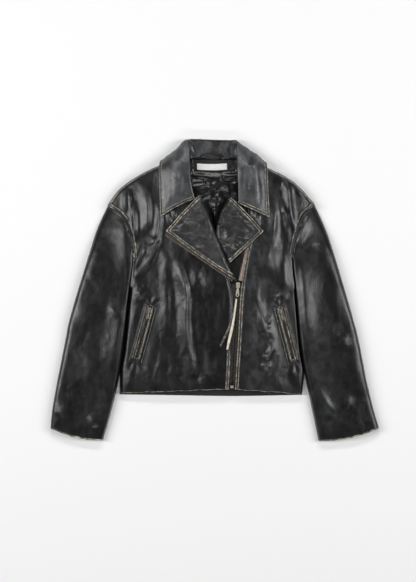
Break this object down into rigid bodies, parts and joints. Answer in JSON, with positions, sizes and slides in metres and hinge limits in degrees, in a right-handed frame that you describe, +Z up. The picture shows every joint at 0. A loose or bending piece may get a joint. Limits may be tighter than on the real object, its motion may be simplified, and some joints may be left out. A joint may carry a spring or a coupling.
{
  "type": "cropped leather jacket",
  "caption": "Cropped leather jacket lying flat on its back, with an asymmetric front zip, wide lapels, turned-down collar, slanted zip pockets and a satin lining.",
  "frame": {"origin": "on the surface the jacket lies on, under the centre of its plan outline", "axes": "+X towards the wearer's left, +Y from hem to collar, +Z up out of the front"},
  "size_m": [0.79, 0.7234, 0.0586],
  "materials": {
    "leather": "distressed, semi-gloss, cream worn edges",
    "leather_facing": "smooth, semi-matte",
    "lining": "satin",
    "zip_tape": "woven",
    "zip_metal": "pale antique nickel",
    "label": "woven, blank",
    "loop": "satin cord",
    "thong_cream": "raw flesh side",
    "thong_black": "grain side"
  },
  "bodies": {
    "root": {"back_panel": "leather", "front_panel_right": "leather", "front_panel_left": "leather", "underlap_panel": "leather_facing", "back_lining": "lining", "front_lining_right": "lining", "front_lining_left": "lining", "hem_facing_back": "leather_facing", "hem_facing_right": "leather_facing", "hem_facing_left": "leather_facing", "collar_leaf": "leather", "collar_stand": "leather_facing", "neck_facing": "leather_facing", "neck_label": "label", "hanger_loop": "loop", "lapel_base_right": "leather", "lapel_base_left": "leather", "armhole_seam_right": "leather", "armhole_seam_left": "leather", "sleeve_cap_right": "leather", "sleeve_cap_under_right": "leather", "sleeve_cap_left": "leather", "sleeve_cap_under_left": "leather", "pocket_welts_right": "leather", "pocket_welts_left": "leather", "pocket_bag_right": "lining", "pocket_bag_left": "lining", "pocket_tapes_right": "zip_tape", "pocket_tapes_left": "zip_tape", "pocket_teeth_right": "zip_metal", "pocket_teeth_left": "zip_metal", "zip_tapes": "zip_tape", "zip_teeth_right": "zip_metal", "zip_teeth_left": "zip_metal", "zip_bottom_stop": "zip_metal", "chest_zip": "zip_metal"},
    "sleeve_right": {"sleeve_top_right": "leather", "sleeve_under_right": "leather", "sleeve_lining_right": "lining", "cuff_facing_right": "leather_facing"},
    "sleeve_left": {"sleeve_top_left": "leather", "sleeve_under_left": "leather", "sleeve_lining_left": "lining", "cuff_facing_left": "leather_facing"},
    "lapel_right": {"lapel_flap_right": "leather", "lapel_zip": "zip_metal"},
    "lapel_left": {"lapel_flap_left": "leather"},
    "main_slider": {"main_slider": "zip_metal", "thong_cream": "thong_cream", "thong_black": "thong_black"},
    "main_pull": {"main_pull": "zip_metal"},
    "pocket_slider_right": {"pocket_slider_right": "zip_metal"},
    "pocket_pull_right": {"pocket_pull_right": "zip_metal"},
    "pocket_slider_left": {"pocket_slider_left": "zip_metal"},
    "pocket_pull_left": {"pocket_pull_left": "zip_metal"}
  },
  "joints": [
    {"name": "main_slider_slide", "type": "slide", "parent": "root", "child": "main_slider", "axis": [-0.0577, -0.9982, -0.0185], "range_m": [0, 0.233]},
    {"name": "main_pull_hinge", "type": "hinge", "parent": "main_slider", "child": "main_pull", "pos_m": [0.05592, 0.01177, 0.03716], "axis": [-0.998, 0.0573, 0.0259], "range_deg": [0, 110]},
    {"name": "pocket_slider_right_slide", "type": "slide", "parent": "root", "child": "pocket_slider_right", "axis": [-0.2607, -0.9645, -0.0428], "range_m": [0, 0.112]},
    {"name": "pocket_pull_right_hinge", "type": "hinge", "parent": "pocket_slider_right", "child": "pocket_pull_right", "pos_m": [-0.15531, -0.04594, 0.03044], "axis": [-0.9605, 0.2636, -0.0898], "range_deg": [0, 110]},
    {"name": "pocket_slider_left_slide", "type": "slide", "parent": "root", "child": "pocket_slider_left", "axis": [0.2546, -0.9661, -0.0426], "range_m": [0, 0.112]},
    {"name": "pocket_pull_left_hinge", "type": "hinge", "parent": "pocket_slider_left", "child": "pocket_pull_left", "pos_m": [0.15826, -0.04895, 0.03013], "axis": [-0.962, -0.2576, 0.0911], "range_deg": [0, 110]},
    {"name": "sleeve_right_swing", "type": "hinge", "parent": "root", "child": "sleeve_right", "pos_m": [-0.262, 0.097, 0.013], "axis": [0, 0, -1], "range_deg": [0, 30]},
    {"name": "sleeve_left_swing", "type": "hinge", "parent": "root", "child": "sleeve_left", "pos_m": [0.25, 0.097, 0.013], "axis": [0, 0, 1], "range_deg": [0, 30]},
    {"name": "lapel_right_lift", "type": "hinge", "parent": "root", "child": "lapel_right", "pos_m": [-0.008, 0.113, 0.04021], "axis": [-0.5158, 0.8566, 0.0149], "range_deg": [0, 60]},
    {"name": "lapel_left_lift", "type": "hinge", "parent": "root", "child": "lapel_left", "pos_m": [0.052, 0.1335, 0.04072], "axis": [-0.1857, -0.9825, -0.0145], "range_deg": [0, 60]}
  ]
}
